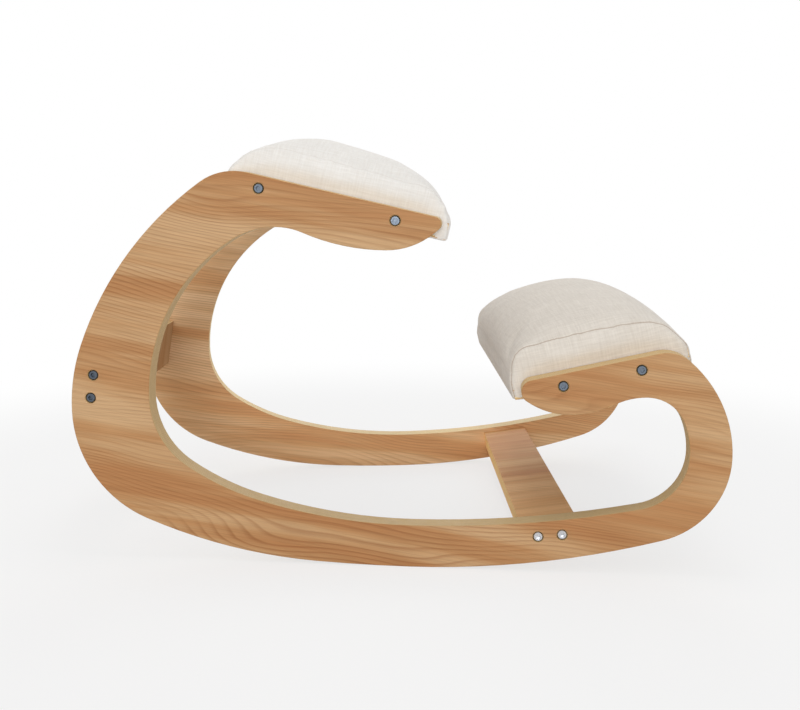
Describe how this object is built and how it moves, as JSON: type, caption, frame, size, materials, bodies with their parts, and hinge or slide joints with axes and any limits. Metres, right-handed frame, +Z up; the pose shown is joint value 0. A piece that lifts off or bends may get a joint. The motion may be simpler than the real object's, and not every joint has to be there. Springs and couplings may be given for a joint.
{
  "type": "kneeling chair",
  "caption": "Rocking kneeling chair: bent plywood side frames on curved runners, joined by crossbars, carry a sloped padded seat and a padded knee rest",
  "frame": {"origin": "on the floor, under the middle of the chair's bounding box", "axes": "+X runs forward, from the seat toward the knee rest; +Y runs to the sitter's left; +Z is up"},
  "size_m": [0.7184, 0.513, 0.4683],
  "materials": {
    "plywood": "satin clear lacquer over straight-grained veneer, pale layered edges",
    "base_plywood": "raw plywood",
    "foam": "upholstery foam",
    "linen": "matte woven linen",
    "dust_cloth": "matte non-woven cloth",
    "bolt_steel": "zinc plated",
    "insert_brass": "plain"
  },
  "bodies": {
    "root": {"left_side_frame": "plywood", "right_side_frame": "plywood", "rear_crossbar": "plywood", "lower_crossbar": "plywood", "seat_base_board": "base_plywood", "seat_foam": "foam", "seat_cover": "linen", "seat_dust_cover": "dust_cloth", "knee_base_board": "base_plywood", "knee_foam": "foam", "knee_cover": "linen", "knee_dust_cover": "dust_cloth", "seat_bolts": "bolt_steel", "knee_bolts": "bolt_steel", "rear_crossbar_bolts": "bolt_steel", "lower_crossbar_bolts": "bolt_steel", "seat_inserts": "insert_brass", "knee_inserts": "insert_brass", "rear_crossbar_inserts": "insert_brass", "lower_crossbar_inserts": "insert_brass"}
  },
  "joints": []
}
